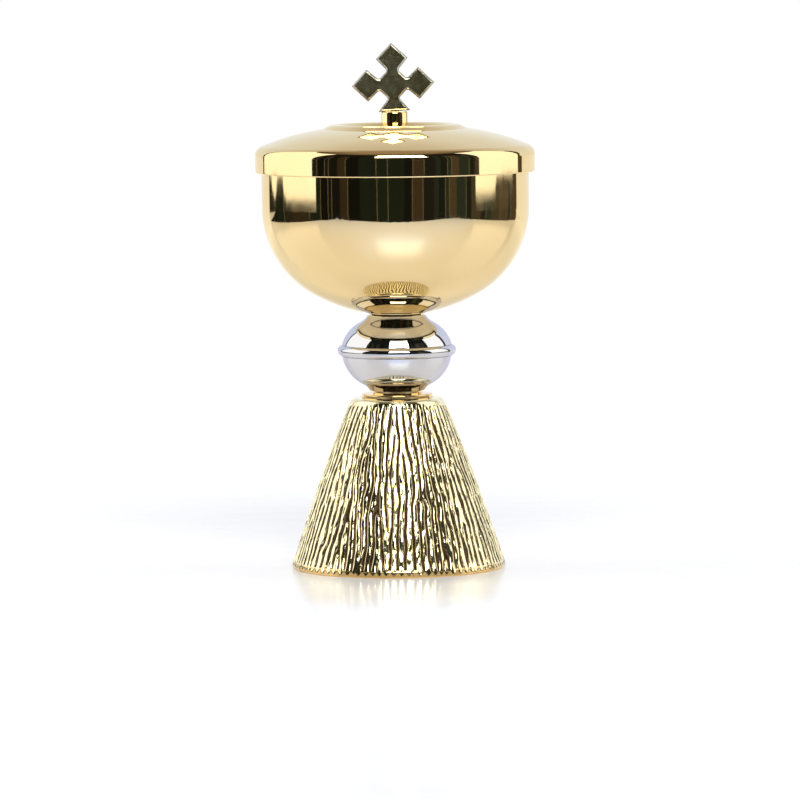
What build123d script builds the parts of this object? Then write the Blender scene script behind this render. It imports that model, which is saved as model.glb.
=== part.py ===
from build123d import *

import os
from math import cos, radians, sin, sqrt, tan

# A lidded ciborium: a spun cup on a silver knop and a bark-textured conical foot, held together by one
# tie rod. The lid lifts off and carries a cross on a ferrule.
# Frame: origin at the centre of the foot's bottom plane, +Z up the axis, the cross's flat face towards -Y.

# ---- Driving dimensions, mm -------------------------------------------------------------------------

# Foot
FOOT_R = 43.6                 # outer radius of the plain band that touches the table
FOOT_BAND_H = 3.0             # height of the plain band below the bark
FOOT_BAND_WALL = 3.0
FOOT_BAND_BEVEL_H = 0.6       # the band's outer top edge slopes in to the bark over this height
FOOT_BAND_ROUND = 0.4         # rounding of the band's outer bottom edge
CONE_BASE_R = 43.3            # bark cone where it meets the band
CONE_SHOULDER_R = 19.6
CONE_SHOULDER_Z = 67.6
CONE_TOP_Z = 70.0
CONE_TOP_R = 17.2
CONE_BULGE = 0.7              # how far the cone's side bows out between its ends
CONE_WALL = 2.2
CONE_INNER_DROP = 1.2         # how much lower the inside's bow lies than the outside's
CONE_PLATE = 3.0              # thickness of the cone's flat top

# Cap ring that seats the knop on the cone
CAP_FLANGE_R = 14.7
CAP_FLANGE_H = 1.7
CAP_FLANGE_ROUND = 0.5
CAP_HUB_R = 10.1
CAP_HUB_H = 1.3

# Knop
KNOP_WALL = 0.9
KNOP_BEAD_Z = 89.5            # height of the bead round the knop's waist
KNOP_BEAD_R = 24.5            # largest radius of the bead
KNOP_BEAD_ROUND = 2.3         # radius of the bead's rounded edge
KNOP_BEAD_INNER_R = 21.26
KNOP_EQUATOR_R = 22.7         # radius of both shells where they meet the bead
KNOP_TOP_Z = 103.9
KNOP_SWELL_SLOPE = 63.0       # degrees from vertical where each neck turns into the swell
LOWER_NECK_R = 11.3           # radius at the flat end
LOWER_NECK_RUN = 2.35         # height of the neck's hollow curve
LOWER_SWELL_R = 14.0          # radius where the hollow curve meets the swell
UPPER_NECK_R = 11.95
UPPER_NECK_RUN = 2.9
UPPER_SWELL_R = 15.2
CORE_R = 8.0
CORE_BORE_R = 6.3

# Cup
CUP_R = 55.0
CUP_WALL = 1.0
CUP_FLOOR_T = 1.6             # thickness at the flat spot inside, above the boss
CUP_RIM_ROUND = 0.4
CUP_BOTTOM_Z = 103.75         # where the cup's curve would cross the axis
CUP_SIDE_ARC_R = 41.0
CUP_SHOULDER_Z = 148.5        # the side becomes vertical here
CUP_RIM_Z = 167.8
BOSS_R = 11.2
BOSS_HUB_R = 6.0
BOSS_HUB_LENGTH = 10.0

# Tie rod and its fastening inside the foot
ROD_R = 4.0                   # M8
THREAD_BITE = 0.1             # how far the mating threads overlap
ROD_HOLE_R = 4.4
ROD_CHAMFER = 0.8
WASHER_R = 13.0
WASHER_T = 1.6
SPRING_WASHER_R = 7.4
SPRING_WASHER_T = 2.0
SPRING_WASHER_SPLIT = 1.4     # width of the split
SPLIT_ANGLE = 20              # degrees that the split slants across the ring
NUT_ACROSS_FLATS = 13.0
NUT_H = 6.5
ROD_TAIL = 4.0                # rod left showing below the nut

# Lid
LID_R = 57.5
LID_WALL = 1.0
LID_BAND_BOTTOM_Z = 162.8
LID_BAND_ROUND = 0.45         # rounding of the band's two lower edges
LID_JOINT_Z = 167.4           # seam between the rim band and the lid shell
LID_SHOULDER_Z = 169.8
LID_SHOULDER_R = 4.2          # radius of the rounded shoulder
LID_SHOULDER_SLOPE = 22.2     # degrees from horizontal where the shoulder meets the crown
LID_CREASE_R = 29.7           # the crown ends here, at the foot of the ridge
LID_CREASE_Z = 180.47
LID_RIDGE_R = 24.7            # radius of the ridge's highest line
LID_RIDGE_ROUND = 6.0         # rounding of the ridge's top
LID_RIDGE_SLOPE = 27.0        # degrees from horizontal on both flanks of the ridge
LID_DISH_Z = 180.4

# Ring that locates the lid in the cup's mouth
RING_CLEARANCE = 0.3          # radial gap between the ring and the inside of the lid shell
RING_SEAT_GAP = 0.1           # between the ring's flange and the cup's rim
RING_FLANGE_T = 0.7
RING_COLLAR_R = 53.7
RING_COLLAR_WALL = 0.8
RING_COLLAR_BOTTOM_Z = 161.2

# Finial
FERRULE_R = 5.5
FERRULE_TOP_Z = 187.5
FERRULE_ROUND = 0.8
FERRULE_GROOVE_RISE = 1.3     # height of the turned groove above the lid
FERRULE_GROOVE_R = 0.3
CROSS_CENTRE_Z = 198.6
CROSS_REACH = 16.9            # centre to the tip of an arm
CROSS_END_OFFSET = 10.6       # centre to the widest point of an arm's end diamond
CROSS_END_HALF = 6.5          # half the diamond's width
CROSS_FOOT_OFFSET = 10.95     # centre to the flat end of the lower arm
CROSS_NECK_OFFSET = 5.75      # centre to the narrow neck of an arm
CROSS_NECK_HALF = 2.15
CROSS_NECK_ROUND = 1.0        # rounding of the inner corners, two at each neck
CROSS_T = 3.2
CROSS_EDGE_ROUND = 0.9
CROSS_LEAN = 2.5              # degrees that the cross leans towards -X in its socket
SOCKET_W = 4.0                # socket in the ferrule's top
SOCKET_T = 2.4
SOCKET_DEPTH = 3.5
TANG_W = 3.5                  # tang below the cross, a loose fit in the socket
TANG_T = 2.3
TANG_END_PLAY = 0.3
SCREW_R = 2.0                 # M4
SCREW_HOLE_R = 2.15
SCREW_HEAD_R = 3.8
SCREW_HEAD_H = 2.4
SCREW_HEAD_ROUND = 0.8
SCREW_SLOT_W = 1.0
SCREW_SLOT_DEPTH = 1.2
SCREW_BITE = 2.6              # length of screw inside the ferrule
FINIAL_WASHER_R = 8.0
FINIAL_WASHER_T = 0.9

# ---- Heights that follow from them -------------------------------------------------------------------

CAP_FLANGE_Z = CONE_TOP_Z + CAP_FLANGE_H
KNOP_BOTTOM_Z = CAP_FLANGE_Z + CAP_HUB_H
CONE_INNER_TOP_Z = CONE_TOP_Z - CONE_PLATE
WASHER_Z = CONE_INNER_TOP_Z - WASHER_T
SPRING_WASHER_Z = WASHER_Z - SPRING_WASHER_T
NUT_Z = SPRING_WASHER_Z - NUT_H
RING_FLANGE_Z = CUP_RIM_Z + RING_SEAT_GAP
RING_TOP_Z = RING_FLANGE_Z + RING_FLANGE_T
FERRULE_FLOOR_Z = LID_DISH_Z - LID_WALL
FINIAL_WASHER_Z = FERRULE_FLOOR_Z - FINIAL_WASHER_T

# The cup's two arcs are tangent: the side arc's centre lies CUP_SIDE_ARC_R inside the wall, and the
# bottom arc's centre lies on the axis.
SIDE_ARC_X = CUP_R - CUP_SIDE_ARC_R
SIDE_ARC_RISE = CUP_SHOULDER_Z - CUP_BOTTOM_Z
SIDE_ARC_REACH = SIDE_ARC_X**2 + SIDE_ARC_RISE**2 - CUP_SIDE_ARC_R**2
BOTTOM_ARC_R = SIDE_ARC_REACH / (2 * (SIDE_ARC_RISE - CUP_SIDE_ARC_R))
BOTTOM_ARC_Z = CUP_BOTTOM_Z + BOTTOM_ARC_R


def finish(part, name):
    """Label a sub-part and write it to its own STEP file."""
    part.label = name
    export_step(part, f"parts/{name}.step")


def cup_arc_height(radius, wall=0.0):
    """Height of the cup's bottom arc at a radius, measured on the surface a wall's depth inside."""
    return BOTTOM_ARC_Z - sqrt((BOTTOM_ARC_R - wall) ** 2 - radius**2)


def tube(bottom, height, outer_r, inner_r):
    """A plain ring or sleeve standing on the plane z = bottom."""
    with BuildPart() as sleeve:
        with BuildSketch(Plane.XY.offset(bottom)):
            Circle(outer_r)
            Circle(inner_r, mode=Mode.SUBTRACT)
        extrude(amount=height)
    return sleeve.part


# ---- Foot --------------------------------------------------------------------------------------------


def make_foot_ring():
    """Plain gilt band at the bottom edge, rebated on top to carry the bark cone."""
    inner_r = FOOT_R - FOOT_BAND_WALL
    with BuildPart() as foot_ring:
        with BuildSketch(Plane.XZ):
            with BuildLine():
                outer = Line((FOOT_R, 0), (FOOT_R, FOOT_BAND_H - FOOT_BAND_BEVEL_H))
                edge = Line(outer @ 1, (CONE_BASE_R, FOOT_BAND_H))
                inner = Line((inner_r, FOOT_BAND_H), (inner_r, 0))
                Line(edge @ 1, inner @ 0)
                Line(inner @ 1, outer @ 0)
            make_face()
        revolve(axis=Axis.Z)
        fillet(foot_ring.edges().group_by(Axis.Z)[0].sort_by(SortBy.LENGTH)[-1], radius=FOOT_BAND_ROUND)
    finish(foot_ring.part, "foot_ring")


def make_bark_cone():
    """Hollow cast cone, closed by a flat top. Its side bows out slightly and its top edge is rounded."""
    side_mid = Vector((CONE_BASE_R + CONE_SHOULDER_R) / 2, (FOOT_BAND_H + CONE_SHOULDER_Z) / 2)
    with BuildPart() as bark_cone:
        with BuildSketch(Plane.XZ):
            with BuildLine():
                foot = Vector(CONE_BASE_R, FOOT_BAND_H)
                shoulder = Vector(CONE_SHOULDER_R, CONE_SHOULDER_Z)
                bow = Vector(CONE_BULGE, CONE_BULGE / 2)
                side = ThreePointArc(foot, side_mid + bow, shoulder)
                top_edge = TangentArc(side @ 1, (CONE_TOP_R, CONE_TOP_Z), tangent=side % 1)
                Line(top_edge @ 1, (0, CONE_TOP_Z))
                Line((0, CONE_TOP_Z), (0, CONE_INNER_TOP_Z))
                ceiling = Line((0, CONE_INNER_TOP_Z), (CONE_TOP_R - CONE_WALL, CONE_INNER_TOP_Z))
                inner_foot = foot - Vector(CONE_WALL, 0)
                inner_mid = side_mid + bow - Vector(CONE_WALL, CONE_INNER_DROP)
                inner_side = ThreePointArc(ceiling @ 1, inner_mid, inner_foot)
                Line(inner_side @ 1, side @ 0)
            make_face()
        revolve(axis=Axis.Z)
        with Locations((0, 0, CONE_TOP_Z)):
            Hole(ROD_HOLE_R, CONE_PLATE)
    finish(bark_cone.part, "bark_cone")


def make_cone_cap_ring():
    """Turned ring on top of the cone: a broad flange and a narrower hub under the knop."""
    with BuildPart() as cone_cap_ring:
        with BuildSketch(Plane.XY.offset(CONE_TOP_Z)):
            Circle(CAP_FLANGE_R)
        extrude(amount=CAP_FLANGE_H)
        fillet(cone_cap_ring.edges().group_by(Axis.Z)[-1], radius=CAP_FLANGE_ROUND)
        with BuildSketch(Plane.XY.offset(CAP_FLANGE_Z)):
            Circle(CAP_HUB_R)
        extrude(amount=CAP_HUB_H)
        with Locations((0, 0, KNOP_BOTTOM_Z)):
            Hole(ROD_HOLE_R)
    finish(cone_cap_ring.part, "cone_cap_ring")


# ---- Knop --------------------------------------------------------------------------------------------


def make_knop_shell(name, end_z, neck_r, neck_run, swell_r, rim_z):
    """Half of the knop: a flanged end, a flared neck and a swell that rises to the bead.

    end_z is the flat end, swell_r the radius where the neck's hollow curve meets the round swell,
    neck_run the height of the neck, and rim_z the edge that meets the bead.
    """
    up = 1 if rim_z > end_z else -1
    swell_z = end_z + up * neck_run
    slope = radians(KNOP_SWELL_SLOPE)
    flange_t = up * KNOP_WALL
    with BuildPart() as knop_shell:
        with BuildSketch(Plane.XZ):
            with BuildLine():
                swell_tangent = Vector(sin(slope), up * cos(slope))
                swell = TangentArc((swell_r, swell_z), (KNOP_EQUATOR_R, rim_z), tangent=swell_tangent)
                neck = TangentArc(swell @ 0, (neck_r, end_z), tangent=swell_tangent * -1)
                end = Line(neck @ 1, (CORE_R, end_z))
                riser = Line(end @ 1, (CORE_R, end_z + flange_t))
                inside = Line(riser @ 1, (neck_r - KNOP_WALL, end_z + flange_t))
                inner_swell_r = swell_r - KNOP_WALL * cos(slope)
                inner_swell_z = swell_z + up * KNOP_WALL * sin(slope)
                inner_start = Vector(inner_swell_r, inner_swell_z)
                inner_rim = Vector(KNOP_EQUATOR_R - KNOP_WALL, rim_z)
                inner_swell = TangentArc(inner_start, inner_rim, tangent=swell_tangent)
                Line(inside @ 1, inner_swell @ 0)
                Line(swell @ 1, inner_swell @ 1)
            make_face()
        revolve(axis=Axis.Z)
    finish(knop_shell.part, name)


def make_knop_bead():
    """Half-round bead that joins the two knop shells at the waist."""
    bead_centre_r = KNOP_BEAD_R - KNOP_BEAD_ROUND
    bottom_z = KNOP_BEAD_Z - KNOP_BEAD_ROUND
    top_z = KNOP_BEAD_Z + KNOP_BEAD_ROUND
    with BuildPart() as knop_bead:
        with BuildSketch(Plane.XZ):
            with BuildLine():
                ThreePointArc((bead_centre_r, bottom_z), (KNOP_BEAD_R, KNOP_BEAD_Z), (bead_centre_r, top_z))
                Polyline(
                    (bead_centre_r, top_z),
                    (KNOP_BEAD_INNER_R, top_z),
                    (KNOP_BEAD_INNER_R, bottom_z),
                    (bead_centre_r, bottom_z),
                )
            make_face()
        revolve(axis=Axis.Z)
    finish(knop_bead.part, "knop_bead")


# ---- Cup and tie rod ---------------------------------------------------------------------------------


def make_cup():
    """Spun cup: a shallow bottom arc, a tighter side arc, and a straight wall up to a rounded rim."""
    seat_z = cup_arc_height(BOSS_R)
    floor_z = CUP_BOTTOM_Z + CUP_FLOOR_T
    floor_r = sqrt((BOTTOM_ARC_R - CUP_WALL) ** 2 - (BOTTOM_ARC_Z - floor_z) ** 2)
    bottom_centre = Vector(0, BOTTOM_ARC_Z)
    to_join = (Vector(SIDE_ARC_X, CUP_SHOULDER_Z) - bottom_centre).normalized()
    outer_join = bottom_centre + to_join * BOTTOM_ARC_R
    inner_join = bottom_centre + to_join * (BOTTOM_ARC_R - CUP_WALL)
    inner_r = CUP_R - CUP_WALL
    with BuildPart() as cup:
        with BuildSketch(Plane.XZ):
            with BuildLine():
                seat = Line((0, seat_z), (BOSS_R, seat_z))
                bottom = RadiusArc(seat @ 1, outer_join, -BOTTOM_ARC_R)
                side = TangentArc(bottom @ 1, (CUP_R, CUP_SHOULDER_Z), tangent=bottom % 1)
                wall = Line(side @ 1, (CUP_R, CUP_RIM_Z))
                rim = Line(wall @ 1, (inner_r, CUP_RIM_Z))
                inner_wall = Line(rim @ 1, (inner_r, CUP_SHOULDER_Z))
                inner_side = RadiusArc(inner_wall @ 1, inner_join, CUP_SIDE_ARC_R - CUP_WALL)
                inner_bottom = RadiusArc(inner_side @ 1, (floor_r, floor_z), BOTTOM_ARC_R - CUP_WALL)
                floor = Line(inner_bottom @ 1, (0, floor_z))
                Line(floor @ 1, seat @ 0)
            make_face()
        revolve(axis=Axis.Z)
        fillet(cup.edges().group_by(Axis.Z)[-1], radius=CUP_RIM_ROUND)
    finish(cup.part, "cup")


def make_cup_boss():
    """Boss brazed under the cup: a thin flange on the knop's neck and a hub threaded for the rod."""
    flange_h = cup_arc_height(BOSS_R) - KNOP_TOP_Z
    with BuildPart() as cup_boss:
        with BuildSketch(Plane.XY.offset(KNOP_TOP_Z)):
            Circle(BOSS_R)
        extrude(amount=flange_h)
        with BuildSketch(Plane.XY.offset(KNOP_TOP_Z - BOSS_HUB_LENGTH)):
            Circle(BOSS_HUB_R)
        extrude(amount=BOSS_HUB_LENGTH)
        with BuildSketch(Plane.XY.offset(KNOP_TOP_Z - BOSS_HUB_LENGTH)):
            Circle(ROD_R - THREAD_BITE)
        extrude(amount=BOSS_HUB_LENGTH, mode=Mode.SUBTRACT)
    finish(cup_boss.part, "cup_boss")


def make_tie_rod():
    """Threaded rod from the boss, down through the knop and the cone, to the nut."""
    bottom_z = NUT_Z - ROD_TAIL
    with BuildPart() as tie_rod:
        with BuildSketch(Plane.XY.offset(bottom_z)):
            Circle(ROD_R)
        extrude(amount=KNOP_TOP_Z - bottom_z)
        chamfer(tie_rod.edges().group_by(Axis.Z)[0], length=ROD_CHAMFER)
    finish(tie_rod.part, "tie_rod")


def make_spring_washer():
    """Split lock washer between the clamp washer and the nut."""
    with BuildPart() as spring_washer:
        add(tube(SPRING_WASHER_Z, SPRING_WASHER_T, SPRING_WASHER_R, ROD_HOLE_R))
        with BuildSketch(Plane.XY.offset(SPRING_WASHER_Z)):
            with Locations(((SPRING_WASHER_R + ROD_HOLE_R) / 2, 0)):
                Rectangle(2 * (SPRING_WASHER_R - ROD_HOLE_R), SPRING_WASHER_SPLIT, rotation=SPLIT_ANGLE)
        extrude(amount=SPRING_WASHER_T, mode=Mode.SUBTRACT)
    finish(spring_washer.part, "spring_washer")


def make_base_nut():
    """Hexagon nut that pulls the whole stem together."""
    with BuildPart() as base_nut:
        with BuildSketch(Plane.XY.offset(NUT_Z)):
            RegularPolygon(NUT_ACROSS_FLATS / 2, 6, major_radius=False)
            Circle(ROD_R - THREAD_BITE, mode=Mode.SUBTRACT)
        extrude(amount=NUT_H)
    finish(base_nut.part, "base_nut")


# ---- Lid ---------------------------------------------------------------------------------------------


def make_lid_shell():
    """Spun lid: a shallow dish inside a raised ridge, a convex crown and a rounded shoulder."""
    slope = radians(LID_SHOULDER_SLOPE)
    centre_r = LID_R - LID_SHOULDER_R
    crown_foot = Vector(centre_r + LID_SHOULDER_R * sin(slope), LID_SHOULDER_Z + LID_SHOULDER_R * cos(slope))
    inner_r = LID_R - LID_WALL
    inner_shoulder_r = LID_SHOULDER_R - LID_WALL
    inner_foot = crown_foot - Vector(sin(slope), cos(slope)) * LID_WALL
    drop = Vector(0, LID_WALL)
    up_slope = Vector(-cos(slope), sin(slope))
    flank = radians(LID_RIDGE_SLOPE)
    crease = Vector(LID_CREASE_R, LID_CREASE_Z)
    round_half = LID_RIDGE_ROUND * sin(flank)
    round_foot_z = LID_CREASE_Z + (LID_CREASE_R - LID_RIDGE_R - round_half) * tan(flank)
    ridge_z = round_foot_z + LID_RIDGE_ROUND * (1 - cos(flank))
    outer_foot = Vector(LID_RIDGE_R + round_half, round_foot_z)
    ridge = Vector(LID_RIDGE_R, ridge_z)
    dish_foot = Vector(LID_RIDGE_R - round_half, round_foot_z)
    dish = dish_foot - Vector((round_foot_z - LID_DISH_Z) / tan(flank), round_foot_z - LID_DISH_Z)
    with BuildPart() as lid_shell:
        with BuildSketch(Plane.XZ):
            with BuildLine():
                skirt = Line((LID_R, LID_JOINT_Z), (LID_R, LID_SHOULDER_Z))
                shoulder = RadiusArc(skirt @ 1, crown_foot, -LID_SHOULDER_R)
                crown = TangentArc(shoulder @ 1, crease, tangent=up_slope)
                Line(crown @ 1, outer_foot)
                ThreePointArc(outer_foot, ridge, dish_foot)
                Line(dish_foot, dish)
                Line(dish, (0, LID_DISH_Z))
                Line((0, LID_DISH_Z), (0, LID_DISH_Z - LID_WALL))
                Line((0, LID_DISH_Z - LID_WALL), dish - drop)
                Line(dish - drop, dish_foot - drop)
                ThreePointArc(dish_foot - drop, ridge - drop, outer_foot - drop)
                Line(outer_foot - drop, crease - drop)
                inner_crown = TangentArc(inner_foot, crease - drop, tangent=up_slope)
                inner_shoulder = RadiusArc(inner_crown @ 0, (inner_r, LID_SHOULDER_Z), inner_shoulder_r)
                inner_skirt = Line(inner_shoulder @ 1, (inner_r, LID_JOINT_Z))
                Line(inner_skirt @ 1, skirt @ 0)
            make_face()
        revolve(axis=Axis.Z)
        with Locations((0, 0, LID_DISH_Z)):
            Hole(SCREW_HOLE_R, 2 * LID_WALL)
    finish(lid_shell.part, "lid_shell")


def make_lid_rim_band():
    """Band soldered under the lid shell, flush with it, with a rounded lower edge."""
    inner_r = LID_R - LID_WALL
    with BuildPart() as lid_rim_band:
        add(tube(LID_BAND_BOTTOM_Z, LID_JOINT_Z - LID_BAND_BOTTOM_Z, LID_R, inner_r))
        fillet(lid_rim_band.edges().group_by(Axis.Z)[0], radius=LID_BAND_ROUND)
    finish(lid_rim_band.part, "lid_rim_band")


def make_lid_locating_ring():
    """L-section ring: its flange sits on the cup's rim and its collar hangs inside the mouth."""
    flange_r = LID_R - LID_WALL - RING_CLEARANCE
    collar_inner_r = RING_COLLAR_R - RING_COLLAR_WALL
    with BuildPart() as lid_locating_ring:
        with BuildSketch(Plane.XZ):
            with BuildLine():
                Polyline(
                    (collar_inner_r, RING_COLLAR_BOTTOM_Z),
                    (RING_COLLAR_R, RING_COLLAR_BOTTOM_Z),
                    (RING_COLLAR_R, RING_FLANGE_Z),
                    (flange_r, RING_FLANGE_Z),
                    (flange_r, RING_TOP_Z),
                    (collar_inner_r, RING_TOP_Z),
                    close=True,
                )
            make_face()
        revolve(axis=Axis.Z)
    finish(lid_locating_ring.part, "lid_locating_ring")


# ---- Finial ------------------------------------------------------------------------------------------


def make_finial_ferrule():
    """Turned barrel under the cross: rounded top edge, a groove low down, a socket for the tang."""
    with BuildPart() as finial_ferrule:
        with BuildSketch(Plane.XY.offset(LID_DISH_Z)):
            Circle(FERRULE_R)
        extrude(amount=FERRULE_TOP_Z - LID_DISH_Z)
        fillet(finial_ferrule.edges().group_by(Axis.Z)[-1], radius=FERRULE_ROUND)
        with Locations((0, 0, LID_DISH_Z + FERRULE_GROOVE_RISE)):
            Torus(FERRULE_R, FERRULE_GROOVE_R, mode=Mode.SUBTRACT)
        with BuildSketch(Plane.XY.offset(FERRULE_TOP_Z)):
            Rectangle(SOCKET_W, SOCKET_T)
        extrude(amount=-SOCKET_DEPTH, mode=Mode.SUBTRACT)
        with BuildSketch(Plane.XY.offset(LID_DISH_Z)):
            Circle(SCREW_R - THREAD_BITE)
        extrude(amount=SCREW_BITE, mode=Mode.SUBTRACT)
    finish(finial_ferrule.part, "finial_ferrule")


def arm_outline(turn, reach_cut=False):
    """Points of one arm, from its first neck corner to its last, turned about the cross's centre.

    An arm widens from its neck to the end diamond's two side corners, then closes to the tip. An arm
    that is cut off flat ends at the side corners.
    """
    end_offset = CROSS_FOOT_OFFSET if reach_cut else CROSS_END_OFFSET
    points = [Vector(CROSS_NECK_HALF, CROSS_NECK_OFFSET), Vector(CROSS_END_HALF, end_offset)]
    if not reach_cut:
        points.append(Vector(0, CROSS_REACH))
    points += [Vector(-p.X, p.Y) for p in reversed(points[:2])]
    return [p.rotate(Axis.Z, turn) for p in points]


def make_finial_cross():
    """Cross with four diamond-ended arms and rounded edges; the lower arm ends in a hidden tang."""
    outline = []
    for turn in (0, 90, 180, 270):
        outline += arm_outline(turn, reach_cut=turn == 180)
    tang_bottom_z = FERRULE_TOP_Z - SOCKET_DEPTH + TANG_END_PLAY
    back_plane = Plane(origin=(0, CROSS_T / 2, CROSS_CENTRE_Z), x_dir=(1, 0, 0), z_dir=(0, -1, 0))
    with BuildPart() as finial_cross:
        with BuildSketch(back_plane) as arms:
            with BuildLine():
                Polyline(*outline, close=True)
            make_face()
            fillet(arms.vertices().sort_by_distance((0, 0))[:8], radius=CROSS_NECK_ROUND)
        extrude(amount=CROSS_T)
        fillet(finial_cross.faces().sort_by(Axis.Y)[0].edges(), radius=CROSS_EDGE_ROUND)
        fillet(finial_cross.faces().sort_by(Axis.Y)[-1].edges(), radius=CROSS_EDGE_ROUND)
        with BuildSketch(Plane.XY.offset(tang_bottom_z)):
            Rectangle(TANG_W, TANG_T)
        extrude(amount=CROSS_CENTRE_Z - CROSS_FOOT_OFFSET + CROSS_EDGE_ROUND - tang_bottom_z)
    leaning_cross = finial_cross.part.rotate(Axis((0, 0, FERRULE_TOP_Z), (0, 1, 0)), -CROSS_LEAN)
    finish(leaning_cross, "finial_cross")


def make_finial_screw():
    """Pan-head screw from inside the lid that holds the ferrule down."""
    with BuildPart() as finial_screw:
        with BuildSketch(Plane.XY.offset(FINIAL_WASHER_Z - SCREW_HEAD_H)):
            Circle(SCREW_HEAD_R)
        extrude(amount=SCREW_HEAD_H)
        fillet(finial_screw.edges().group_by(Axis.Z)[0], radius=SCREW_HEAD_ROUND)
        with BuildSketch(Plane.XY.offset(FINIAL_WASHER_Z - SCREW_HEAD_H)):
            Rectangle(2 * SCREW_HEAD_R, SCREW_SLOT_W)
        extrude(amount=SCREW_SLOT_DEPTH, mode=Mode.SUBTRACT)
        with BuildSketch(Plane.XY.offset(FINIAL_WASHER_Z)):
            Circle(SCREW_R)
        extrude(amount=LID_DISH_Z + SCREW_BITE - FINIAL_WASHER_Z)
    finish(finial_screw.part, "finial_screw")


def main():
    """Build and write every sub-part, foot first."""
    os.makedirs("parts", exist_ok=True)
    make_foot_ring()
    make_bark_cone()
    make_cone_cap_ring()
    lower_rim_z = KNOP_BEAD_Z - KNOP_BEAD_ROUND
    make_knop_shell(
        "knop_lower_shell", KNOP_BOTTOM_Z, LOWER_NECK_R, LOWER_NECK_RUN, LOWER_SWELL_R, lower_rim_z
    )
    upper_rim_z = KNOP_BEAD_Z + KNOP_BEAD_ROUND
    make_knop_shell("knop_upper_shell", KNOP_TOP_Z, UPPER_NECK_R, UPPER_NECK_RUN, UPPER_SWELL_R, upper_rim_z)
    make_knop_bead()
    finish(tube(KNOP_BOTTOM_Z, KNOP_TOP_Z - KNOP_BOTTOM_Z, CORE_R, CORE_BORE_R), "knop_core_tube")
    make_cup()
    make_cup_boss()
    make_tie_rod()
    finish(tube(WASHER_Z, WASHER_T, WASHER_R, ROD_HOLE_R), "clamp_washer")
    make_spring_washer()
    make_base_nut()
    make_lid_shell()
    make_lid_rim_band()
    make_lid_locating_ring()
    make_finial_ferrule()
    make_finial_cross()
    make_finial_screw()
    finish(tube(FINIAL_WASHER_Z, FINIAL_WASHER_T, FINIAL_WASHER_R, SCREW_HOLE_R), "finial_washer")


main()
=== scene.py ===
import math

import bpy
import numpy as np
from mathutils import Matrix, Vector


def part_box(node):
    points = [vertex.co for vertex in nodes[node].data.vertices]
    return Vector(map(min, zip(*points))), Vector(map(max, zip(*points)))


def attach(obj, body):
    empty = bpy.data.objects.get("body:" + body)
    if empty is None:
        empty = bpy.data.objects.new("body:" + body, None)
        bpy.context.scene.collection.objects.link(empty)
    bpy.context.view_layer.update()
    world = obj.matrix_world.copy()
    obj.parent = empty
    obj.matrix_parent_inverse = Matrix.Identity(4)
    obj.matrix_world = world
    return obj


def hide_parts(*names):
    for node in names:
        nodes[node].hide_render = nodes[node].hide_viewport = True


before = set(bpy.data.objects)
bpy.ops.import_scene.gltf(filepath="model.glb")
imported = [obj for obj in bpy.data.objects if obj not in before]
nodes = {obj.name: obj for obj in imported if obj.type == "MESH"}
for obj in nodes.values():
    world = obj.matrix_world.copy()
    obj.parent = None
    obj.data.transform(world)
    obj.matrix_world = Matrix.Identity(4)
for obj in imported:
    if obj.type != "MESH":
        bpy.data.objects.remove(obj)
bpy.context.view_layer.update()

# A gilt ciborium on a white table. Metres, in the CAD frame: +Z up, the front looks towards -Y.
MM = 0.001


# ---- Shader helpers ----------------------------------------------------------------------------------


def new_material(name):
    """An empty node material and its Principled shader."""
    material = bpy.data.materials.new(name)
    material.use_nodes = True
    shader = material.node_tree.nodes["Principled BSDF"]
    return material, material.node_tree, shader


def add_noise(tree, scale, detail=3.0, stretch=(1, 1, 1)):
    """Noise over object coordinates, stretched per axis; returns its value socket."""
    coords = tree.nodes.new("ShaderNodeTexCoord")
    mapping = tree.nodes.new("ShaderNodeMapping")
    mapping.inputs["Scale"].default_value = stretch
    noise = tree.nodes.new("ShaderNodeTexNoise")
    noise.inputs["Scale"].default_value = scale
    noise.inputs["Detail"].default_value = detail
    tree.links.new(coords.outputs["Object"], mapping.inputs["Vector"])
    tree.links.new(mapping.outputs["Vector"], noise.inputs["Vector"])
    return noise.outputs["Fac"]


def add_range(tree, value, from_low, from_high, to_low, to_high):
    """A value remapped and clamped from one range to another."""
    remap = tree.nodes.new("ShaderNodeMapRange")
    remap.inputs["From Min"].default_value = from_low
    remap.inputs["From Max"].default_value = from_high
    remap.inputs["To Min"].default_value = to_low
    remap.inputs["To Max"].default_value = to_high
    tree.links.new(value, remap.inputs["Value"])
    return remap.outputs["Result"]


def add_mix(tree, factor, low, high):
    """A blend of two colours, each a socket or an RGB triple."""
    mix = tree.nodes.new("ShaderNodeMix")
    mix.data_type = "RGBA"
    tree.links.new(factor, mix.inputs["Factor"])
    for socket, colour in ((mix.inputs["A"], low), (mix.inputs["B"], high)):
        if isinstance(colour, tuple):
            socket.default_value = (*colour, 1)
        else:
            tree.links.new(colour, socket)
    return mix.outputs["Result"]


def add_bump(tree, height, depth, normal=None):
    """A bump of a real depth in metres."""
    bump = tree.nodes.new("ShaderNodeBump")
    bump.inputs["Strength"].default_value = 1.0
    bump.inputs["Distance"].default_value = depth
    tree.links.new(height, bump.inputs["Height"])
    if normal is not None:
        tree.links.new(normal, bump.inputs["Normal"])
    return bump.outputs["Normal"]


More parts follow.
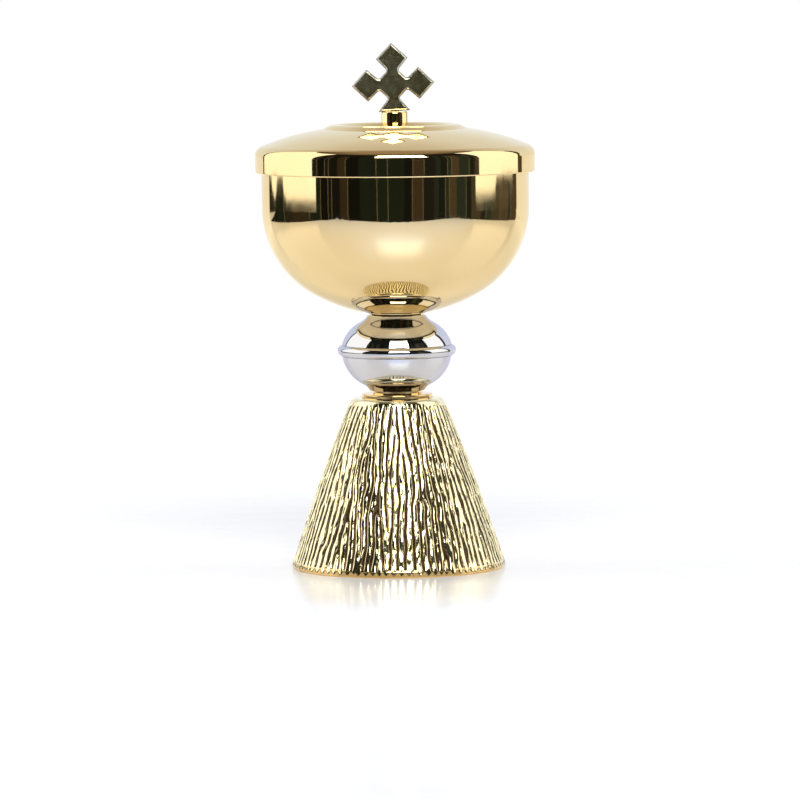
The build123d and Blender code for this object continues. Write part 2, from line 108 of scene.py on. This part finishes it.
def polished(name, light, deep, rough=(0.03, 0.07), ripple=1.2e-6, scratch=2.0e-7, edge=(1, 1, 1)):
    """Mirror-polished plate: faint colour drift, polishing haze, slow ripple and fine spinning lines.

    light and deep are the two ends of the colour drift, rough the range of the haze, ripple and scratch
    the depths of the bumps in metres, and edge the tint of the sheen at grazing angles.
    """
    material, tree, shader = new_material(name)
    shader.inputs["Metallic"].default_value = 1.0
    shader.inputs["Specular Tint"].default_value = (*edge, 1)
    drift = add_noise(tree, 30.0, 2.0)
    haze = add_noise(tree, 140.0, 5.0)
    swell = add_noise(tree, 60.0, 1.0)
    hairs = add_noise(tree, 900.0, 2.0, (1, 1, 14))
    colour = add_mix(tree, add_range(tree, drift, 0.35, 0.65, 0, 1), deep, light)
    tree.links.new(colour, shader.inputs["Base Color"])
    tree.links.new(add_range(tree, haze, 0.3, 0.75, *rough), shader.inputs["Roughness"])
    normal = add_bump(tree, swell, ripple)
    tree.links.new(add_bump(tree, hairs, scratch, normal), shader.inputs["Normal"])
    return material


def cast_gilt(name):
    """Cast cross: satin faces, rounded edges painted pale as a highlight, a black line of painted shade
    outside them and gilt sides.

    The zones follow the normal: it points along Y on the faces and square to Y on the sides.
    """
    material, tree, shader = new_material(name)
    shader.inputs["Metallic"].default_value = 1.0
    dents = add_noise(tree, 150.0, 1.0)
    grain = add_noise(tree, 1400.0, 3.0)
    blotch = add_noise(tree, 320.0, 3.0)
    coords = tree.nodes.new("ShaderNodeTexCoord")
    split = tree.nodes.new("ShaderNodeSeparateXYZ")
    tree.links.new(coords.outputs["Normal"], split.inputs["Vector"])
    facing = tree.nodes.new("ShaderNodeMath")
    facing.operation = "ABSOLUTE"
    tree.links.new(split.outputs["Y"], facing.inputs[0])
    # painted shade: a black line where the normal turns from the face towards the side
    painted_shade_line = add_range(tree, facing.outputs[0], 0.60, 0.74, 1, 0)
    # painted highlight: the rounded edges next to the faces are painted pale
    edge = add_range(tree, facing.outputs[0], 0.93, 0.985, 1, 0)
    face = add_mix(tree, add_range(tree, blotch, 0.40, 0.62, 0, 1), CROSS_DEEP, CROSS_LIGHT)
    colour = add_mix(tree, edge, face, CROSS_PAINTED_HIGHLIGHT)
    colour = add_mix(tree, painted_shade_line, colour, CROSS_PAINTED_SHADE)
    side = add_range(tree, facing.outputs[0], 0.06, 0.24, 1, 0)
    tree.links.new(add_mix(tree, side, colour, CROSS_SIDE), shader.inputs["Base Color"])
    tree.links.new(add_range(tree, edge, 0, 1, 0.21, 0.24), shader.inputs["Roughness"])
    normal = add_bump(tree, dents, 3.5e-4)
    tree.links.new(add_bump(tree, grain, 1.5e-5, normal), shader.inputs["Normal"])
    return material


GOLD_LIGHT = (0.87, 0.68, 0.37)
GOLD_DEEP = (0.84, 0.645, 0.335)
GOLD_EDGE = (0.92, 0.90, 0.80)
SILVER_LIGHT = (0.68, 0.675, 0.69)
SILVER_DEEP = (0.62, 0.615, 0.63)
SILVER_EDGE = (0.78, 0.77, 0.86)
CROSS_LIGHT = (1.0, 0.92, 0.62)
CROSS_DEEP = (0.70, 0.58, 0.30)
# painted highlight: the pale colour of the cross's rounded edges
CROSS_PAINTED_HIGHLIGHT = (0.97, 0.92, 0.80)
# painted shade: the black line outside the cross's rounded edges
CROSS_PAINTED_SHADE = (0.012, 0.009, 0.006)
CROSS_SIDE = (0.86, 0.68, 0.36)
BARK_LIGHT = (0.96, 0.88, 0.58)
BARK_DEEP = (0.88, 0.76, 0.44)
BARK_PATINA = (0.11, 0.052, 0.014)
# painted shade: black along the bark's lower edge and in its groove bottoms
BARK_PAINTED_SHADE = (0.006, 0.005, 0.003)
cup_gilt = polished("cup_gilt", GOLD_LIGHT, GOLD_DEEP, edge=GOLD_EDGE)
lid_gilt = polished("lid_gilt", GOLD_LIGHT, GOLD_DEEP, edge=GOLD_EDGE)
foot_gilt = polished("foot_gilt", (0.88, 0.63, 0.28), (0.80, 0.53, 0.20), (0.08, 0.16), 2e-6, 4e-7)
knop_silver = polished("knop_silver", SILVER_LIGHT, SILVER_DEEP, (0.02, 0.05), edge=SILVER_EDGE)
stem_brass = polished("stem_brass", (0.62, 0.47, 0.22), (0.52, 0.38, 0.17), (0.22, 0.38), 1e-5, 3e-6)
fastener_steel = polished("fastener_steel", (0.55, 0.55, 0.56), (0.42, 0.42, 0.44), (0.25, 0.4),
                          1e-5, 3e-6)
ferrule_gilt = polished("ferrule_gilt", (0.93, 0.76, 0.44), (0.80, 0.57, 0.26), (0.05, 0.12),
                        1.2e-5, 1e-6)
cross_gilt = cast_gilt("cross_gilt")


def assign(material, *names):
    """Give the named CAD nodes this finish."""
    for name in names:
        for slot in nodes[name].material_slots:
            slot.material = material


assign(cup_gilt, "cup", "cup_boss")
assign(lid_gilt, "lid_shell", "lid_rim_band", "lid_locating_ring")
assign(foot_gilt, "foot_ring", "cone_cap_ring")
assign(knop_silver, "knop_lower_shell", "knop_bead", "knop_upper_shell")
assign(stem_brass, "knop_core_tube", "clamp_washer", "finial_washer")
assign(fastener_steel, "tie_rod", "spring_washer", "base_nut", "finial_screw")
assign(ferrule_gilt, "finial_ferrule")
assign(cross_gilt, "finial_cross")


# ---- Bark cone ---------------------------------------------------------------------------------------

# Millimetres, until make_bark turns the vertices into metres.
CONE_LOW, CONE_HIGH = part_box("bark_cone")
FOOT_R = CONE_HIGH.x / MM
CONE_TOP_Z = CONE_HIGH.z / MM
FOOT_Z = CONE_LOW.z / MM
SHOULDER_R, SHOULDER_Z = 19.6, CONE_TOP_Z - 2.4
TOP_R = 17.2
FLAT_INNER_R = 4.4            # rod hole
BULGE = 0.7                   # how far the side bows out
WALL = 2.2                    # thickness of the cone's side
PLATE = 3.0                   # and of its flat top
FOOT_LEDGE = 0.4              # inset of the cone's flat lower end
AROUND = 1060                 # vertices in each row round the cone
UP = 80                       # rows from the foot to the shoulder
PITCH_LOW, PITCH_HIGH = 3.15, 2.65     # spacing of the ridges at the foot and at the shoulder
PACKETS = 1300                         # wave packets tried
PACKET_ACROSS = 3.3                    # their spread across the ridges
PACKET_ALONG = 12.0                    # and along them
PACKET_TILT = 0.055                    # spread of their slopes
PACKET_MARGIN = 0.12                   # packets lie up to this share of the length past either end
CREST = 0.35                           # how far the ridges stand out of the mean surface
GROOVE = 0.70                          # how deep the grooves go below it
NOTCH_Z = FOOT_Z - 0.55                # lower end of the grooves, over the band's bevel
TIP_DROP = 1.65                        # how far the ridges' pointed tips reach below it
FOOT_INSET = 0.15                      # how far inside the cone's foot the mean surface ends
FOOT_COVER = 0.38                      # how far outside it the grooves run out, clear of the band
FOOT_ZONE = 0.045                      # share of the length in which the tips take shape
PAINTED_SHADE_CREST = -0.7                        # crest value along the lower edge, which the material turns black as painted shade
INSIDE = 0.4                           # and on the plain inside, which it leaves brown
SHOULDER_ZONE = 0.03                   # share of the length in which the ridges melt away
TIP_ROWS = (0, 0.0035, 0.010, 0.018)   # close rows of vertices for the crisp lower edge
ROWS_START = 0.029                     # share of the length from which the rows are even


def cone_side(share):
    """Radius and height on the cone's bowed side; share runs from 0 at the foot to 1 at the shoulder."""
    bow = BULGE * 4 * share * (1 - share)
    radius = FOOT_R - FOOT_INSET + (SHOULDER_R - FOOT_R + FOOT_INSET) * share + bow
    height = NOTCH_Z + (SHOULDER_Z - NOTCH_Z) * share
    return radius, height


def bark_phase(angle, slant, length):
    """Phase of the ridges that run up the cone, from many randomly placed wave packets.

    Each packet is a short stretch of parallel ridges at its own place and slight tilt. Their sum keeps
    the ridges' spacing nearly the same all the way up, so that ridges fork and merge.
    """
    random = np.random.default_rng(11)
    total = np.zeros(angle.shape, dtype=complex)
    radius = FOOT_R + (SHOULDER_R - FOOT_R) * slant / length
    for _ in range(PACKETS):
        share = random.uniform(-PACKET_MARGIN, 1 + PACKET_MARGIN)
        at_radius = FOOT_R + (SHOULDER_R - FOOT_R) * share
        at_angle = random.uniform(-math.pi, math.pi)
        tilt = random.normal(0, PACKET_TILT)
        pitch = (PITCH_LOW + (PITCH_HIGH - PITCH_LOW) * share) * random.uniform(0.93, 1.09)
        start = random.uniform(0, 2 * math.pi)
        if random.uniform(0, FOOT_R) > at_radius:
            continue
        turn = (angle - at_angle + math.pi) % (2 * math.pi) - math.pi
        across = turn * (radius + at_radius) / 2
        along = slant - share * length
        size = np.exp(-0.5 * ((across / PACKET_ACROSS) ** 2 + (along / PACKET_ALONG) ** 2))
        total += size * np.exp(1j * (2 * math.pi / pitch * (across + along * tilt) + start))
    return np.angle(total)


def waves(angle, slant, rings, scale, seed):
    """Smooth random undulation that closes round the cone: a sum of sine waves."""
    random = np.random.default_rng(seed)
    total = np.zeros(angle.shape)
    for _ in range(rings):
        count = random.integers(scale // 2, scale * 2)
        rise = random.normal(0, scale / 45.0)
        total += np.sin(count * angle + rise * slant + random.uniform(0, 2 * math.pi))
    return total / math.sqrt(rings)


def bark_surface():
    """Outer surface of the bark as rows of radius, height and crest, from the foot's tips upwards."""
    around_row = np.linspace(-math.pi, math.pi, AROUND, endpoint=False)
    share_column = np.concatenate([TIP_ROWS, np.linspace(ROWS_START, 1, UP - len(TIP_ROWS))])
    angle, share = np.meshgrid(around_row, share_column)
    length = math.hypot(FOOT_R - SHOULDER_R, SHOULDER_Z - FOOT_Z)
    slant = share * length
    bent = angle + 0.007 * waves(angle, slant, 10, 12, 3)
    phase = bark_phase(bent, slant, length)
    swell = 0.5 + 0.5 * np.tanh(waves(angle, slant, 14, 20, 5))
    ridge = np.abs(np.cos(phase / 2)) + 0.10 * (swell - 0.5)
    rise = np.clip((ridge - 0.22) / 0.42, 0, 1)
    plateau = rise * rise * (3 - 2 * rise)
    fine = waves(angle, slant, 16, 110, 7) * 0.045 + waves(angle, slant, 16, 45, 9) * 0.06
    height = -GROOVE + (GROOVE + CREST) * (0.80 * plateau + 0.20 * ridge) * (0.86 + 0.18 * swell) + fine
    lean = math.atan2(FOOT_R - SHOULDER_R, SHOULDER_Z - FOOT_Z)
    radius, level = cone_side(share)
    # pointed tips reach down over the foot band
    point = 1 - np.abs(phase[0]) / math.pi
    near_foot = np.clip(1 - share / FOOT_ZONE, 0, 1)
    drop = near_foot * TIP_DROP * point[None, :]
    level = level - drop + height * math.sin(lean) * (1 - near_foot)
    radius = radius + height * math.cos(lean) + drop * math.tan(lean)
    # the grooves run out to the surface, and so cover the band's bevel
    radius = radius + np.maximum(FOOT_R + FOOT_COVER - radius, 0) * near_foot ** 2
    # the ridges melt into the smooth shoulder
    fade = np.clip((1 - share) / SHOULDER_ZONE, 0, 1) ** 0.6
    smooth_radius, smooth_level = cone_side(share)
    radius = smooth_radius + (radius - smooth_radius) * fade
    level = smooth_level + (level - smooth_level) * fade
    crest = ridge * fade + (1 - fade)
    # the lowest row's crest value makes the material paint a black shade line under the tips
    crest[0] = PAINTED_SHADE_CREST
    return around_row, radius, level, crest


def make_bark():
    """Closed mesh: ragged foot edge, bark, smooth shoulder and flat top, rod hole and plain inside."""
    around_row, radius, level, crest = bark_surface()
    one = np.ones(AROUND)
    rows = [(radius[i], level[i], crest[i]) for i in range(UP)]
    for turn in (0.35, 0.7, 1.0):
        bend = turn * math.pi / 2
        shoulder_r = SHOULDER_R + (TOP_R - SHOULDER_R) * (1 - math.cos(bend))
        shoulder_z = SHOULDER_Z + (CONE_TOP_Z - SHOULDER_Z) * math.sin(bend)
        rows.append((shoulder_r * one, shoulder_z * one, one))
    inside = ((FLAT_INNER_R, CONE_TOP_Z), (FLAT_INNER_R, CONE_TOP_Z - PLATE),
              (TOP_R - WALL, CONE_TOP_Z - PLATE), (FOOT_R - WALL, FOOT_Z),
              (FOOT_R - FOOT_LEDGE, FOOT_Z))
    for inner_r, inner_z in inside:
        rows.append((inner_r * one, inner_z * one, INSIDE * one))
    cos_row, sin_row = np.cos(around_row), np.sin(around_row)
    verts = np.concatenate([np.stack([r * cos_row, r * sin_row, z], axis=1) for r, z, _ in rows]) * MM
    index = np.arange(len(rows) * AROUND).reshape(len(rows), AROUND)
    beside = np.roll(index, -1, axis=1)
    above, above_beside = np.roll(index, -1, axis=0), np.roll(beside, -1, axis=0)
    faces = np.stack([index, beside, above_beside, above], axis=2).reshape(-1, 4)
    mesh = bpy.data.meshes.new("bark_mantle")
    mesh.from_pydata(verts.tolist(), [], faces.tolist())
    mesh.polygons.foreach_set("use_smooth", [True] * len(mesh.polygons))
    attribute = mesh.attributes.new("crest", "FLOAT", "POINT")
    attribute.data.foreach_set("value", np.concatenate([c for _, _, c in rows]).astype(np.float32))
    mesh.update()
    piece = bpy.data.objects.new("bark_mantle", mesh)
    bpy.context.scene.collection.objects.link(piece)
    return piece


def bark_gilt():
    """Gilt bark: worn crests, brown patina in the grooves, painted black shade along the lower edge and in
    the groove bottoms, and fine cast grain.
    """
    material, tree, shader = new_material("bark_gilt")
    shader.inputs["Metallic"].default_value = 1.0
    crest = tree.nodes.new("ShaderNodeAttribute")
    crest.attribute_name = "crest"
    grain = add_noise(tree, 900.0, 4.0)
    blotch = add_noise(tree, 260.0, 3.0)
    edge = add_range(tree, grain, 0.3, 0.7, -0.12, 0.12)
    ragged = tree.nodes.new("ShaderNodeMath")
    ragged.operation = "ADD"
    tree.links.new(crest.outputs["Fac"], ragged.inputs[0])
    tree.links.new(edge, ragged.inputs[1])
    worn = add_range(tree, ragged.outputs[0], 0.44, 0.58, 0, 1)
    gold = add_mix(tree, add_range(tree, blotch, 0.35, 0.65, 0, 1), BARK_DEEP, BARK_LIGHT)
    colour = add_mix(tree, worn, BARK_PATINA, gold)
    # painted shade: black along the lower edge and in the deepest parts of the grooves
    painted_shade_line = add_range(tree, ragged.outputs[0], -0.1, 0.3, 1, 0)
    tree.links.new(add_mix(tree, painted_shade_line, colour, BARK_PAINTED_SHADE), shader.inputs["Base Color"])
    tree.links.new(add_range(tree, worn, 0, 1, 0.7, 1.0), shader.inputs["Metallic"])
    tree.links.new(add_range(tree, worn, 0, 1, 0.38, 0.13), shader.inputs["Roughness"])
    tree.links.new(add_bump(tree, grain, 4e-5), shader.inputs["Normal"])
    return material


bark = make_bark()
bark.data.materials.append(bark_gilt())
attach(bark, "vessel")
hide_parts("bark_cone")


# ---- Studio ------------------------------------------------------------------------------------------


def glow_material(name, strength, attribute=None):
    """A plain emitter, evenly white or coloured by a colour attribute."""
    material = bpy.data.materials.new(name)
    material.use_nodes = True
    tree = material.node_tree
    tree.nodes.clear()
    glow = tree.nodes.new("ShaderNodeEmission")
    glow.inputs["Strength"].default_value = strength
    if attribute:
        tone = tree.nodes.new("ShaderNodeAttribute")
        tone.attribute_name = attribute
        tree.links.new(tone.outputs["Color"], glow.inputs["Color"])
    else:
        glow.inputs["Color"].default_value = (1.0, 0.99, 0.95, 1)
    out = tree.nodes.new("ShaderNodeOutputMaterial")
    tree.links.new(glow.outputs["Emission"], out.inputs["Surface"])
    return material


def around(azimuth, distance, height):
    """A place round the object: azimuth 0 is towards the camera, positive to the right."""
    turn = math.radians(azimuth)
    return (math.sin(turn) * distance, -math.cos(turn) * distance, height)


def hang(name, verts, faces, material):
    """A surface that only reflections see: the camera and the shadows pass through it."""
    mesh = bpy.data.meshes.new(name)
    mesh.from_pydata(verts, [], faces)
    mesh.materials.append(material)
    piece = bpy.data.objects.new(name, mesh)
    bpy.context.scene.collection.objects.link(piece)
    piece.visible_camera = False
    piece.visible_shadow = False
    return piece


SOFTBOX_AWAY = 1.0            # distance of the two side softboxes from the object's axis
SOFTBOX_TOP = 1.6
SOFTBOX_STRENGTH = 1.5
SOFTBOX_STEP = 0.7            # degrees between the corners of their lower edges


def softbox(name, start, end, lower_edge):
    """A tall glowing screen, curved round the object, with a lower edge that things stand before."""
    azimuths = np.arange(start, end, SOFTBOX_STEP)
    verts, faces = [], []
    for azimuth in azimuths:
        verts.append(around(azimuth, SOFTBOX_AWAY, lower_edge(azimuth)))
        verts.append(around(azimuth, SOFTBOX_AWAY, SOFTBOX_TOP))
    for i in range(len(azimuths) - 1):
        faces.append((2 * i, 2 * i + 2, 2 * i + 3, 2 * i + 1))
    hang(name, verts, faces, glow_material(name, SOFTBOX_STRENGTH))


def ragged_edge(low, high, spans, seed):
    """Lower edge of a softbox: down to low inside the spans of azimuth, and up at high elsewhere."""
    random = np.random.default_rng(seed)
    jitter = random.uniform(-0.0022, 0.0022, 400)

    def edge(azimuth):
        inside = max(min(azimuth - start, end - azimuth) for start, end in spans)
        round_corner = 1 - math.sqrt(max(0.0, 1 - max(0.0, 1 - inside / 7.0) ** 2)) if inside > 0 else 1
        return low + (high - low) * round_corner + jitter[int(azimuth * 1.4) % 400] * (round_corner > 0)

    return edge


SHOULDER_LEVEL = 0.1195       # what the lid's band reflects lies above this height, 1 m away
PATCH_LEVEL = 0.1062          # the bright patches on the cup's side reflect down to this height
softbox("softbox_left", -133, -69.9,
        ragged_edge(PATCH_LEVEL, SHOULDER_LEVEL, [(-130, -120), (-110, -62)], 2))
softbox("softbox_right", 71, 118.1,
        ragged_edge(PATCH_LEVEL + 0.003, SHOULDER_LEVEL, [(62, 95)], 4))

FRONT_LEFT, FRONT_RIGHT = -17, 27
FRONT_AWAY = 1.5
FRONT_LOW, FRONT_HIGH = 0.86, 1.72
FRONT_STRENGTH = 9.0
front = [around(FRONT_LEFT, FRONT_AWAY, FRONT_LOW), around(FRONT_RIGHT, FRONT_AWAY, FRONT_LOW),
         around(FRONT_RIGHT, FRONT_AWAY, FRONT_HIGH), around(FRONT_LEFT, FRONT_AWAY, FRONT_HIGH)]
hang("softbox_front", front, [(0, 1, 2, 3)], glow_material("softbox_front", FRONT_STRENGTH))

ROOM_AWAY = 1.9
ROOM_LOW, ROOM_HIGH = -0.4, 1.5
ROOM_START, ROOM_END = -137.0, 121
ROOM_GAP = 0.4                # degrees of the narrow strip after each panel
PALE = (0.20, 0.19, 0.14)
PALE_SHARE = 0.45             # share of the strips that are pale


def make_room():
    """The dim room before the object: upright panels of near-black, green and brown, with pale edges."""
    random = np.random.default_rng(21)
    palette = ((0.007, 0.008, 0.007), (0.013, 0.019, 0.014), (0.026, 0.024, 0.017),
               (0.010, 0.010, 0.009), (0.036, 0.028, 0.018), (0.012, 0.017, 0.014))
    verts, faces, tones = [], [], []
    azimuth = ROOM_START
    while azimuth < ROOM_END:
        wide = random.uniform(3, 12)
        warm = 1.0 + 1.4 * max(0.0, math.sin(math.radians(azimuth)))
        tone = tuple(channel * warm for channel in palette[random.integers(len(palette))])
        for start, width, colour in ((azimuth, wide, tone), (azimuth + wide, ROOM_GAP, PALE)):
            first = len(verts)
            for turn in (start, start + width):
                verts += [around(turn, ROOM_AWAY, ROOM_LOW), around(turn, ROOM_AWAY, ROOM_HIGH)]
            faces.append((first, first + 2, first + 3, first + 1))
            tones.append(colour if width > 1 or random.uniform() < PALE_SHARE else tone)
        azimuth += wide + ROOM_GAP
    room = hang("room", verts, faces, glow_material("room", 1.0, "tone"))
    tone_attribute = room.data.attributes.new("tone", "FLOAT_COLOR", "FACE")
    for datum, tone in zip(tone_attribute.data, tones):
        datum.color = (*tone, 1)


make_room()


FLOOR_FRONT = -0.68           # the table ends here, which gives the cup's dark zone its lower edge
FLOOR_HALF = ((0.8, FLOOR_FRONT), (0.8, 0.8), (3.0, 1.6), (3.0, 4.5))     # its right-hand outline
FLOOR_LIGHT = (0.92, 0.92, 0.93)
FLOOR_DULL = (0.90, 0.90, 0.915)
FAR_START, FAR_FULL = 0.18, 0.75          # the far painted light grows between these values of Y
NEAR_START, NEAR_FULL = -0.05, -0.40      # and the near painted light between these
# centre and radii of the painted pool of light
POOL_CENTRE = (0.008, -0.25, 0)
POOL_R, POOL_CORE_R = 0.17, 0.02
# emission colours of the painted light on the table: dim behind the object, bright far away, cool in front
# and in the pool
DIM_PAINTED_LIGHT = (0.04, 0.04, 0.05)
FAR_PAINTED_LIGHT = (0.36, 0.36, 0.38)
NEAR_PAINTED_LIGHT = (0.08, 0.13, 0.28)
POOL_PAINTED_LIGHT = (0.12, 0.25, 0.60)


def make_floor():
    """White glossy table top that ends in front of the object, with painted light in its emission."""
    outline = FLOOR_HALF + tuple((-x, y) for x, y in reversed(FLOOR_HALF))
    mesh = bpy.data.meshes.new("floor")
    mesh.from_pydata([(x, y, 0) for x, y in outline], [], [tuple(range(len(outline)))])
    floor = bpy.data.objects.new("floor", mesh)
    bpy.context.scene.collection.objects.link(floor)
    material, tree, shader = new_material("floor")
    cloud = add_noise(tree, 3.0, 1.0)
    tree.links.new(add_mix(tree, cloud, FLOOR_DULL, FLOOR_LIGHT), shader.inputs["Base Color"])
    haze = add_noise(tree, 40.0)
    tree.links.new(add_range(tree, haze, 0.3, 0.7, 0.20, 0.24), shader.inputs["Roughness"])
    # painted light: the emission whitens the far part of the table, paints a cool glow and a pool of light
    # before the object, and stays dim just behind it
    coords = tree.nodes.new("ShaderNodeTexCoord")
    split = tree.nodes.new("ShaderNodeSeparateXYZ")
    tree.links.new(coords.outputs["Object"], split.inputs["Vector"])
    far = add_range(tree, split.outputs["Y"], FAR_START, FAR_FULL, 0, 1)
    near = add_range(tree, split.outputs["Y"], NEAR_START, NEAR_FULL, 0, 1)
    distance = tree.nodes.new("ShaderNodeVectorMath")
    distance.operation = "DISTANCE"
    tree.links.new(coords.outputs["Object"], distance.inputs[0])
    distance.inputs[1].default_value = POOL_CENTRE
    painted_pool = add_range(tree, distance.outputs["Value"], POOL_R, POOL_CORE_R, 0, 1)
    for ramp in (far, near, painted_pool):
        ramp.node.interpolation_type = "SMOOTHSTEP"
    # painted light, mixed from the far, near and pool ramps
    glow = add_mix(tree, far, DIM_PAINTED_LIGHT, FAR_PAINTED_LIGHT)
    glow = add_mix(tree, near, glow, NEAR_PAINTED_LIGHT)
    glow = add_mix(tree, painted_pool, glow, POOL_PAINTED_LIGHT)
    tree.links.new(glow, shader.inputs["Emission Color"])
    shader.inputs["Emission Strength"].default_value = 1.0
    mesh.materials.append(material)


make_floor()

BACKDROP_MID, BACKDROP_HALF = 172.2, 49.8     # azimuth of the backdrop's middle, and its half-width
CEILING = (0.34, 0.27, 0.20)
DARK_ROOM = (0.012, 0.012, 0.009)


def make_world():
    """White to the camera. Reflections see a pale backdrop behind the object and a dark room before it."""
    world = bpy.data.worlds.new("studio")
    bpy.context.scene.world = world
    world.use_nodes = True
    tree = world.node_tree
    tree.nodes.clear()
    coords = tree.nodes.new("ShaderNodeTexCoord")
    split = tree.nodes.new("ShaderNodeSeparateXYZ")
    tree.links.new(coords.outputs["Generated"], split.inputs["Vector"])

    def maths(operation, first, second=None):
        node = tree.nodes.new("ShaderNodeMath")
        node.operation = operation
        for socket, value in zip(node.inputs, (first, second)):
            if isinstance(value, (int, float)):
                socket.default_value = value
            elif value is not None:
                tree.links.new(value, socket)
        return node.outputs[0]

    x, y, z = split.outputs
    mid_x, mid_y, _ = around(BACKDROP_MID, 1, 0)
    flat = maths("SQRT", maths("ADD", maths("MULTIPLY", x, x), maths("MULTIPLY", y, y)))
    facing = maths("ADD", maths("MULTIPLY", x, mid_x), maths("MULTIPLY", y, mid_y))
    edge = math.cos(math.radians(BACKDROP_HALF))
    cosine = maths("DIVIDE", facing, maths("MAXIMUM", flat, 1e-4))
    behind = add_range(tree, cosine, edge - 0.01, edge + 0.01, 0, 1)
    ramp = tree.nodes.new("ShaderNodeValToRGB")
    stops = ((0.0, (1.0, 1.0, 1.0)), (0.25, (0.95, 1.02, 1.16)), (0.55, (0.84, 0.88, 0.98)),
             (0.78, (0.62, 0.58, 0.55)), (0.97, CEILING))
    while len(ramp.color_ramp.elements) < len(stops):
        ramp.color_ramp.elements.new(0.5)
    for element, (position, colour) in zip(ramp.color_ramp.elements, stops):
        element.position = position
        element.color = (*colour, 1)
    tree.links.new(z, ramp.inputs["Fac"])
    ceiling = add_mix(tree, add_range(tree, z, 0.80, 0.97, 0, 1), DARK_ROOM, CEILING)
    colour = add_mix(tree, behind, ceiling, ramp.outputs["Color"])
    path = tree.nodes.new("ShaderNodeLightPath")
    seen = add_mix(tree, path.outputs["Is Camera Ray"], colour, (1.0, 1.0, 1.0))
    background = tree.nodes.new("ShaderNodeBackground")
    out = tree.nodes.new("ShaderNodeOutputWorld")
    tree.links.new(seen, background.inputs["Color"])
    tree.links.new(background.outputs["Background"], out.inputs["Surface"])


make_world()


SKYLIGHT_POWER = 0.62
SKYLIGHT_SPREAD = 100         # degrees


def make_skylight():
    """Even soft light straight down. It lights the table without showing in the polish."""
    data = bpy.data.lights.new("skylight", "SUN")
    data.energy = SKYLIGHT_POWER
    data.angle = math.radians(SKYLIGHT_SPREAD)
    lamp = bpy.data.objects.new("skylight", data)
    bpy.context.scene.collection.objects.link(lamp)
    lamp.visible_glossy = False


make_skylight()


# ---- Camera ------------------------------------------------------------------------------------------


def make_camera():
    """Long lens, a little above the table, with the small roll and aim of the photographed view."""
    distance, height, pitch, roll, yaw = 2.194, 0.258, 4.93, 0.55, 0.029
    data = bpy.data.cameras.new("camera")
    data.lens = 240.7
    data.sensor_width = 36.0
    camera = bpy.data.objects.new("camera", data)
    bpy.context.scene.collection.objects.link(camera)
    turn = Matrix.Rotation(math.radians(-yaw), 4, "Z")
    turn = turn @ Matrix.Rotation(math.radians(90 - pitch), 4, "X")
    turn = turn @ Matrix.Rotation(math.radians(-roll), 4, "Z")
    camera.matrix_world = Matrix.Translation((0, -distance, height)) @ turn
    data.clip_start = 0.05
    data.clip_end = 50
    bpy.context.scene.camera = camera


make_camera()
bpy.context.scene.view_settings.view_transform = "Standard"
